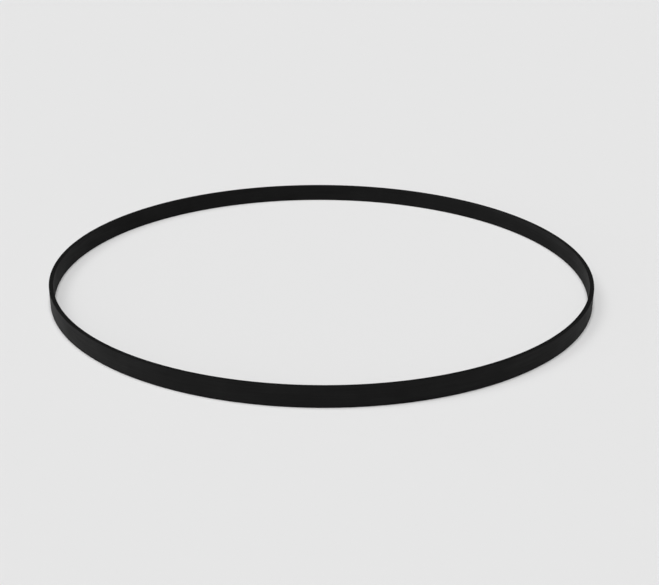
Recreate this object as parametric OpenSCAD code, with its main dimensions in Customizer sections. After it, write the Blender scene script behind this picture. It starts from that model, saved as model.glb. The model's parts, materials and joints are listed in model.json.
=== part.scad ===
// Flat-section rubber ring.
// One endless band of black rubber, several times as tall as it is thick, with straight
// walls, flat rims and lightly rounded edges. It is drawn relaxed, lying on one rim.
// The origin is the middle of the ring on the plane that the lower rim rests on, and the
// ring's axis is +Z. All sizes are in millimetres.

/* [Ring] */
// Inside diameter of the relaxed ring
inner_d = 288; // [60:1:400]
// Thickness of the band, from the inner wall to the outer wall
wall = 2.25; // [1:0.05:6]
// Height of the band, from rim to rim
height = 10; // [4:0.5:40]

/* [Edges] */
// Radius on the four edges of the section
edge_r = 0.2; // [0.05:0.05:0.45]

/* [Hidden] */

inner_r = inner_d / 2;
black_rubber = [0.11, 0.11, 0.11];
ring_facets = 360;
edge_facets = 32;

// A rectangle with rounded corners, with its lower left corner at the origin.
module rounded_rectangle(width, depth, radius) {
    translate([radius, 0])
        square([width - 2 * radius, depth]);
    translate([0, radius])
        square([width, depth - 2 * radius]);
    for (x = [radius, width - radius], y = [radius, depth - radius])
        translate([x, y])
            circle(r = radius, $fn = edge_facets);
}

// The section of the band: X is the distance from the ring's axis and Y is the height.
module band_section() {
    translate([inner_r, 0])
        rounded_rectangle(wall, height, edge_r);
}

// The whole ring: the section turned once about the axis.
module rubber_ring() {
    color(black_rubber)
        rotate_extrude($fn = ring_facets)
            band_section();
}

rubber_ring();
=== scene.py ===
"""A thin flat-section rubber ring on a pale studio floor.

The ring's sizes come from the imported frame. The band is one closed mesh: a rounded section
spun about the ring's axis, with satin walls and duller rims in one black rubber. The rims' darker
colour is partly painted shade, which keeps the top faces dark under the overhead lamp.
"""

import json
import math

import bpy
from bpy.props import FloatProperty, FloatVectorProperty, IntProperty, PointerProperty
from mathutils import Matrix, Vector


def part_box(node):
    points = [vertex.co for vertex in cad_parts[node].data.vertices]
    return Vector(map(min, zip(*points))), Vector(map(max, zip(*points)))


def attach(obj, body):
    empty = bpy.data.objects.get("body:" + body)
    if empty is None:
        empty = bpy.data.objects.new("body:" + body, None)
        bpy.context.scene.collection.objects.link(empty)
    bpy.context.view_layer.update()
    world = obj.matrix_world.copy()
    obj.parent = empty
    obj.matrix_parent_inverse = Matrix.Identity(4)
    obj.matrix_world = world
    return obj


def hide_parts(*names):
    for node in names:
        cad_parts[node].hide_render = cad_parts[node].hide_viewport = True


bl_info = {
    "name": "Flat Rubber Ring",
    "version": (1, 0, 0),
    "blender": (4, 5, 0),
    "location": "View3D > Sidebar > Rubber Ring",
    "description": "Builds a thin flat-section rubber ring and the pale studio that it lies in",
    "category": "Add Mesh",
}

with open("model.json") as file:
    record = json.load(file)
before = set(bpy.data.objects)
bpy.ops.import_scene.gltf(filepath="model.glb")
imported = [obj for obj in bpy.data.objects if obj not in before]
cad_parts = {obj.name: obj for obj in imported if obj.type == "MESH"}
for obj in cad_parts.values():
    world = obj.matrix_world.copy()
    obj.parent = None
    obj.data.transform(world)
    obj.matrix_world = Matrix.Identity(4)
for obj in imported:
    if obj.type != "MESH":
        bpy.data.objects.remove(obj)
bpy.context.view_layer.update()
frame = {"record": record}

BODY = "root"
RING_NODE = "rubber_ring"
MM = 0.001

# The middle of the range of a noise texture, which runs from 0 to 1
NOISE_MIDDLE = 0.5
# How dull the walls are on average, and how far the patches and the grain each move that
WALL_DULLNESS = 0.25
DULLNESS_SWING = 0.5
# How far the patches and the draw lines move the roughness
PATCH_SWING = 0.16
LINE_SWING = 0.24
# How much of the relief is grain, with draw lines as the rest
GRAIN_SHARE = 0.6

# The colour sockets of a Mix node, which shares their names with its number sockets
MIX_FIRST, MIX_SECOND, MIX_RESULT = 6, 7, 2

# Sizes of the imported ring, in metres
RING_LOW, RING_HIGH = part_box(RING_NODE)
BORE = next(mount for mount in frame["record"]["mounts"] if mount["name"] == "bore")
RING_HEIGHT = RING_HIGH.z - RING_LOW.z
OUTER_RADIUS = RING_HIGH.x
INNER_RADIUS = BORE["dims"]["r_mm"] * MM
EDGE_RADIUS = (RING_HEIGHT - BORE["dims"]["length_mm"] * MM) / 2


# Settings

class RingSizes(bpy.types.PropertyGroup):
    """The ring's sizes and how finely it is divided."""

    outer_radius: FloatProperty(
        name="Outer radius",
        description="From the ring's axis to its outer wall",
        default=OUTER_RADIUS, min=0.01, max=1, unit="LENGTH",
    )
    inner_radius: FloatProperty(
        name="Inner radius",
        description="From the ring's axis to its inner wall",
        default=INNER_RADIUS, min=0.01, max=1, unit="LENGTH",
    )
    height: FloatProperty(
        name="Height",
        description="From the lower rim to the upper rim",
        default=RING_HEIGHT, min=0.001, max=0.1, unit="LENGTH",
    )
    edge_radius: FloatProperty(
        name="Edge radius",
        description="Radius on the four edges of the section",
        default=EDGE_RADIUS, min=0.00005, max=0.001, unit="LENGTH",
    )
    edge_steps: IntProperty(
        name="Edge steps",
        description="Faces across each rounded edge",
        default=5, min=2, max=12,
    )
    wall_rows: IntProperty(
        name="Wall rows",
        description="Rows of faces up each wall",
        default=8, min=1, max=32,
    )
    rim_rows: IntProperty(
        name="Rim rows",
        description="Rows of faces across each rim",
        default=3, min=1, max=8,
    )
    turn_steps: IntProperty(
        name="Turn steps",
        description="Steps round the ring",
        default=720, min=48, max=1440,
    )


class RubberFinish(bpy.types.PropertyGroup):
    """The look of the black rubber."""

    colour: FloatVectorProperty(
        name="Rubber colour",
        description="Colour of the walls",
        default=(0.0050, 0.0050, 0.0050), min=0, max=1, size=3, subtype="COLOR",
    )
    # The rims take this colour in full: partly their duller cut face, partly painted shade that keeps
    # the top faces dark under the overhead lamp
    dull_and_shade_colour: FloatVectorProperty(
        name="Dull colour",
        description="Colour of the rims, and of the deeper patches of the walls",
        default=(0.0008, 0.0008, 0.0008), min=0, max=1, size=3, subtype="COLOR",
    )
    gloss: FloatProperty(
        name="Gloss",
        description="How strongly the surface mirrors its surroundings",
        default=0.25, min=0, max=1, subtype="FACTOR",
    )
    wall_roughness: FloatProperty(
        name="Wall roughness",
        description="How widely the walls scatter a highlight",
        default=0.8, min=0, max=1, subtype="FACTOR",
    )
    rim_roughness: FloatProperty(
        name="Rim roughness",
        description="How widely the rims scatter a highlight",
        default=0.95, min=0, max=1, subtype="FACTOR",
    )
    grain_size: FloatProperty(
        name="Grain size",
        description="Size of the fine grain left by the mould",
        default=0.35 * MM, min=0.00005, max=0.005, unit="LENGTH",
    )
    line_length: FloatProperty(
        name="Line length",
        description="Length of the faint draw lines round the ring",
        default=25 * MM, min=0.001, max=0.5, unit="LENGTH",
    )
    line_width: FloatProperty(
        name="Line width",
        description="Width of the draw lines",
        default=0.6 * MM, min=0.00005, max=0.005, unit="LENGTH",
    )
    patch_size: FloatProperty(
        name="Patch size",
        description="Size of the faint duller patches",
        default=14 * MM, min=0.001, max=0.1, unit="LENGTH",
    )
    grain_depth: FloatProperty(
        name="Grain depth",
        description="Depth of the grain and of the draw lines",
        default=0.03 * MM, min=0, max=0.0005, unit="LENGTH",
    )


class Studio(bpy.types.PropertyGroup):
    """The camera, the floor and the light."""

    lens: FloatProperty(
        name="Lens",
        description="Focal length on a sensor 36 mm wide, in millimetres",
        default=58.662, min=10, max=300,
    )
    camera_distance: FloatProperty(
        name="Camera distance",
        description="From the middle of the ring to the camera",
        default=0.59517, min=0.1, max=5, unit="LENGTH",
    )
    camera_elevation: FloatProperty(
        name="Camera elevation",
        description="Height of the camera above the floor, as an angle",
        default=math.radians(22.0732), min=0, max=math.pi / 2, subtype="ANGLE",
    )
    camera_roll: FloatProperty(
        name="Camera roll",
        description="Turn of the camera about its line of sight",
        default=math.radians(0.439), min=-1, max=1, subtype="ANGLE",
    )
    aim: FloatVectorProperty(
        name="Aim",
        description="Point on the floor that the camera looks at",
        default=(0.004063, -0.018134, 0), size=3, subtype="XYZ", unit="LENGTH",
    )
    floor_size: FloatProperty(
        name="Floor size",
        description="Width of the square floor",
        default=60, min=1, max=500, unit="LENGTH",
    )
    floor_tone: FloatProperty(
        name="Floor tone",
        description="Share of the light that the floor gives back",
        default=0.793, min=0, max=1, subtype="FACTOR",
    )
    room_light: FloatProperty(
        name="Room light",
        description="Brightness of the room away from the lamps",
        default=0.006, min=0, max=2,
    )


# Shader maths

class Value:
    """An output socket that takes part in Python expressions. Each operator adds a Math node."""

    def __init__(self, recipe, socket):
        self.recipe = recipe
        self.socket = socket

    def maths(self, operation, *values):
        settings = {"operation": operation}
        return self.recipe.node("ShaderNodeMath", settings, dict(enumerate(values)))

    def __add__(self, other):
        return self.maths("ADD", self, other)

    def __radd__(self, other):
        return self.maths("ADD", other, self)

    def __sub__(self, other):
        return self.maths("SUBTRACT", self, other)

    def __rsub__(self, other):
        return self.maths("SUBTRACT", other, self)

    def __mul__(self, other):
        return self.maths("MULTIPLY", self, other)

    def __rmul__(self, other):
        return self.maths("MULTIPLY", other, self)

    def __truediv__(self, other):
        return self.maths("DIVIDE", self, other)

    def __rtruediv__(self, other):
        return self.maths("DIVIDE", other, self)

    def root(self):
        return self.maths("SQRT", self)

    def clamped(self):
        """The value held between 0 and 1."""
        return self.maths("MINIMUM", self.maths("MAXIMUM", self, 0.0), 1.0)


class Recipe:
    """The node tree of one material or world, written as expressions."""

    def __init__(self, tree):
        self.tree = tree
        self.tree.nodes.clear()

    def node(self, kind, settings=None, inputs=None, output=0):
        """Adds a node: first its settings, then the values or links of its sockets."""
        made = self.tree.nodes.new(kind)
        for name, value in (settings or {}).items():
            setattr(made, name, value)
        for name, value in (inputs or {}).items():
            if isinstance(value, Value):
                self.tree.links.new(value.socket, made.inputs[name])
            else:
                made.inputs[name].default_value = value
        return Value(self, made.outputs[output])

    def place(self):
        """The point's X, Y and Z on the object, in metres."""
        point = self.node("ShaderNodeTexCoord", output="Object")
        return [
            self.node("ShaderNodeSeparateXYZ", inputs={"Vector": point}, output=axis)
            for axis in "XYZ"
        ]

    def vector(self, x, y, z):
        return self.node("ShaderNodeCombineXYZ", inputs={"X": x, "Y": y, "Z": z})

    def noise(self, vector, detail=2.0, roughness=0.5):
        """Smooth noise from 0 to 1, with features about one unit of the vector across."""
        inputs = {"Vector": vector, "Scale": 1.0, "Detail": detail, "Roughness": roughness}
        return self.node("ShaderNodeTexNoise", inputs=inputs)

    def mix(self, factor, first, second):
        """A blend of two colours."""
        settings = {"data_type": "RGBA"}
        inputs = {"Factor": factor, MIX_FIRST: first, MIX_SECOND: second}
        return self.node("ShaderNodeMix", settings, inputs, output=MIX_RESULT)

    def surface(self, shader):
        self.node_output("ShaderNodeOutputMaterial", shader)

    def background(self, shader):
        self.node_output("ShaderNodeOutputWorld", shader)

    def node_output(self, kind, shader):
        end = self.tree.nodes.new(kind)
        self.tree.links.new(shader.socket, end.inputs["Surface"])


def new_material(name):
    material = bpy.data.materials.new(name)
    material.use_nodes = True
    return material, Recipe(material.node_tree)


def opaque(colour):
    return (*colour, 1.0)


# Finishes

def black_rubber(sizes, finish):
    """Black rubber: satin walls with fine grain and draw lines round the ring, and dull cut rims, whose
    darker colour is partly painted shade on the top faces.
    """
    material, recipe = new_material("black_rubber")
    x, y, z = recipe.place()
    radius = (x * x + y * y).root()

    # 1 on the rims, 0 on the walls, with the change across the rounded edges
    middle = (sizes.outer_radius + sizes.inner_radius) / 2
    half_wall = (sizes.outer_radius - sizes.inner_radius) / 2
    from_middle = radius.maths("ABSOLUTE", radius - middle)
    inset = half_wall - from_middle
    rim = (inset / sizes.edge_radius).clamped()

    # Draw lines run round the ring: long features along X and Y, and fine ones up the walls
    # or across the rims
    along = 1 / finish.line_length
    across = 1 / finish.line_width
    wall_lines = recipe.noise(recipe.vector(x * along, y * along, z * across), detail=3.0)
    rim_lines = recipe.noise(recipe.vector(x * along, y * along, radius * across), detail=3.0)
    lines = wall_lines * (1 - rim) + rim_lines * rim

    fine = 1 / finish.grain_size
    grain_place = recipe.vector(x * fine, y * fine, z * fine)
    grain = recipe.noise(grain_place, detail=4.0, roughness=0.6)
    broad = 1 / finish.patch_size
    patches = recipe.noise(recipe.vector(x * broad, y * broad, z * broad), detail=3.0)

    uneven = (patches - NOISE_MIDDLE) + (grain - NOISE_MIDDLE)
    # Painted shade in part: the rims take the dark colour in full, which keeps the top faces dark under
    # the overhead lamp, along with their duller cut finish. The patches and grain vary the walls' tone
    # at random.
    dullness_and_shade = (rim + WALL_DULLNESS + DULLNESS_SWING * uneven).clamped()
    colour = recipe.mix(dullness_and_shade, opaque(finish.colour), opaque(finish.dull_and_shade_colour))
    roughness = (
        finish.wall_roughness
        + (finish.rim_roughness - finish.wall_roughness) * rim
        + PATCH_SWING * (patches - NOISE_MIDDLE)
        + LINE_SWING * (lines - NOISE_MIDDLE)
    )
    relief = GRAIN_SHARE * grain + (1 - GRAIN_SHARE) * lines
    bump_inputs = {"Height": relief, "Strength": 1.0, "Distance": finish.grain_depth}
    normal = recipe.node("ShaderNodeBump", inputs=bump_inputs)

    recipe.surface(recipe.node("ShaderNodeBsdfPrincipled", inputs={
        "Base Color": colour,
        "Roughness": roughness,
        "Normal": normal,
        "Specular IOR Level": finish.gloss,
    }))
    return material


def pale_floor(studio):
    """Plain matt paper in one pale tone."""
    material, recipe = new_material("pale_floor")
    colour = opaque([studio.floor_tone] * 3)
    recipe.surface(recipe.node("ShaderNodeBsdfDiffuse", inputs={"Color": colour}))
    return material


def studio_room(studio):
    """A dim room round the lamps. The backdrop above the floor's far edge shows in the floor's tone."""
    world = bpy.data.worlds.new("studio_room")
    world.use_nodes = True
    recipe = Recipe(world.node_tree)
    seen = recipe.node("ShaderNodeLightPath", output="Is Camera Ray")
    colour = recipe.mix(seen, opaque([studio.room_light] * 3), opaque([studio.floor_tone] * 3))
    recipe.background(recipe.node("ShaderNodeBackground", inputs={"Color": colour}))
    return world


# Modelling

def deselect_all():
    if bpy.context.object and bpy.context.object.mode != "OBJECT":
        bpy.ops.object.mode_set(mode="OBJECT")
    bpy.ops.object.select_all(action="DESELECT")


def settle(piece, name):
    """Names the piece and puts its place into its mesh, with the object itself at the origin."""
    bpy.ops.object.mode_set(mode="OBJECT")
    piece.name = name
    piece.data.name = name
    bpy.ops.object.transform_apply(location=True, rotation=True, scale=True)


def select_edges(piece, wanted):
    """Selects, in edit mode, the edges for which wanted(start, end) is true."""
    bpy.ops.mesh.select_all(action="DESELECT")
    bpy.ops.object.mode_set(mode="OBJECT")
    mesh = piece.data
    for edge in mesh.edges:
        start, end = (mesh.vertices[i].co for i in edge.vertices)
        edge.select = wanted(start, end)
    bpy.ops.object.mode_set(mode="EDIT")


def spun_band(sizes):
    """The band as one closed mesh: a rounded section, spun once round the ring's axis."""
    wall = sizes.outer_radius - sizes.inner_radius
    middle = Vector((sizes.inner_radius + wall / 2, 0, sizes.height / 2))
    deselect_all()
    bpy.ops.mesh.primitive_plane_add(size=1, rotation=(math.pi / 2, 0, 0))
    piece = bpy.context.object
    bpy.ops.object.transform_apply(location=True, rotation=True, scale=True)

    # The plane becomes the section, standing on the floor at the ring's right hand side
    bpy.ops.object.mode_set(mode="EDIT")
    bpy.ops.mesh.select_mode(type="VERT")
    bpy.ops.transform.resize(value=(wall, 1, sizes.height), center_override=(0, 0, 0))
    bpy.ops.transform.translate(value=middle)
    bpy.ops.mesh.bevel(
        offset=sizes.edge_radius,
        segments=sizes.edge_steps,
        affect="VERTICES",
        clamp_overlap=True,
    )
    bpy.ops.mesh.delete(type="ONLY_FACE")

    # Rows up the walls and across the rims
    def upright(start, end):
        return abs(start.z - end.z) > sizes.height / 2

    def level(start, end):
        return abs(start.x - end.x) > wall / 2

    bpy.ops.mesh.select_mode(type="EDGE")
    for chosen, rows in ((upright, sizes.wall_rows), (level, sizes.rim_rows)):
        select_edges(piece, chosen)
        bpy.ops.mesh.subdivide(number_cuts=rows - 1)

    # A full turn, closed where its end meets its start, with its faces pointing outwards
    bpy.ops.mesh.select_all(action="SELECT")
    bpy.ops.mesh.spin(
        steps=sizes.turn_steps,
        angle=2 * math.pi,
        center=(0, 0, 0),
        axis=(0, 0, 1),
    )
    bpy.ops.mesh.select_all(action="SELECT")
    bpy.ops.mesh.remove_doubles(threshold=sizes.edge_radius / 100)
    bpy.ops.mesh.normals_make_consistent(inside=False)
    settle(piece, "flat_band")

    # Flat faces keep their own direction, so that the walls and rims shade flat between the edges
    bpy.ops.object.shade_smooth()
    weighted = piece.modifiers.new("weighted_normals", "WEIGHTED_NORMAL")
    bpy.ops.object.modifier_apply(modifier=weighted.name)
    return piece


# Operators

class RUBBERRING_OT_band(bpy.types.Operator):
    """Build the rubber band and give it its finish"""

    bl_idname = "rubber_ring.build_band"
    bl_label = "Build Rubber Band"

    def execute(self, context):
        scene = context.scene
        piece = spun_band(scene.ring_sizes)
        piece.data.materials.clear()
        piece.data.materials.append(black_rubber(scene.ring_sizes, scene.rubber_finish))
        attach(piece, BODY)
        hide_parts(RING_NODE)
        return {"FINISHED"}


class RUBBERRING_OT_stage(bpy.types.Operator):
    """Lay the pale floor, hang the lamps and place the camera"""

    bl_idname = "rubber_ring.set_stage"
    bl_label = "Set Stage"

    # Name, azimuth from +X, elevation, width of the lamp as an angle, share of the floor's light
    LAMPS = (
        ("overhead", 0, 90, 20, 0.69),
        ("key", 178, 57.6, 33, 0.174),
        ("fill", -105, 34, 75, 0.121),
        ("edge", 205, 8, 16, 0.006),
        ("skim", 155, 0.8, 1.0, 0.002),
    )

    def add_floor(self, studio):
        deselect_all()
        bpy.ops.mesh.primitive_plane_add(size=studio.floor_size)
        floor = bpy.context.object
        settle(floor, "floor")
        floor.data.materials.append(pale_floor(studio))

    def add_lamp(self, name, azimuth, elevation, width, share):
        turn, lift = math.radians(azimuth), math.radians(elevation)
        towards = Vector((
            math.cos(lift) * math.cos(turn),
            math.cos(lift) * math.sin(turn),
            math.sin(lift),
        ))
        bpy.ops.object.light_add(type="SUN", rotation=towards.to_track_quat("Z", "Y").to_euler())
        lamp = bpy.context.object
        lamp.name = name
        lamp.data.angle = math.radians(width)
        lamp.data.energy = share * math.pi / math.sin(lift)

    def add_camera(self, scene, studio):
        lift = studio.camera_elevation
        place = studio.camera_distance * Vector((0, -math.cos(lift), math.sin(lift)))
        look = (Vector(studio.aim) - place).to_track_quat("-Z", "Y").to_matrix()
        turned = look @ Matrix.Rotation(studio.camera_roll, 3, "Z")
        bpy.ops.object.camera_add(location=place, rotation=turned.to_euler())
        scene.camera = bpy.context.object
        scene.camera.data.lens = studio.lens

    def execute(self, context):
        scene = context.scene
        self.add_floor(scene.studio)
        for lamp in self.LAMPS:
            self.add_lamp(*lamp)
        self.add_camera(scene, scene.studio)
        scene.world = studio_room(scene.studio)
        scene.view_settings.view_transform = "Standard"
        return {"FINISHED"}


class RUBBERRING_PT_panel(bpy.types.Panel):
    """Sizes, finish and studio of the rubber ring"""

    bl_label = "Rubber Ring"
    bl_idname = "RUBBERRING_PT_panel"
    bl_space_type = "VIEW_3D"
    bl_region_type = "UI"
    bl_category = "Rubber Ring"

    def draw(self, context):
        layout = self.layout
        for title, group in (("Ring", "ring_sizes"), ("Rubber", "rubber_finish"), ("Studio", "studio")):
            settings = getattr(context.scene, group)
            box = layout.box()
            box.label(text=title)
            for name in settings.__annotations__:
                box.prop(settings, name)
        layout.operator(RUBBERRING_OT_band.bl_idname)
        layout.operator(RUBBERRING_OT_stage.bl_idname)


GROUPS = {"ring_sizes": RingSizes, "rubber_finish": RubberFinish, "studio": Studio}
CLASSES = (*GROUPS.values(), RUBBERRING_OT_band, RUBBERRING_OT_stage, RUBBERRING_PT_panel)


def register():
    for cls in CLASSES:
        bpy.utils.register_class(cls)
    for name, group in GROUPS.items():
        setattr(bpy.types.Scene, name, PointerProperty(type=group))


def unregister():
    for name in GROUPS:
        delattr(bpy.types.Scene, name)
    for cls in reversed(CLASSES):
        bpy.utils.unregister_class(cls)


def main():
    register()
    bpy.ops.rubber_ring.build_band()
    bpy.ops.rubber_ring.set_stage()


if __name__ == "__main__":
    main()
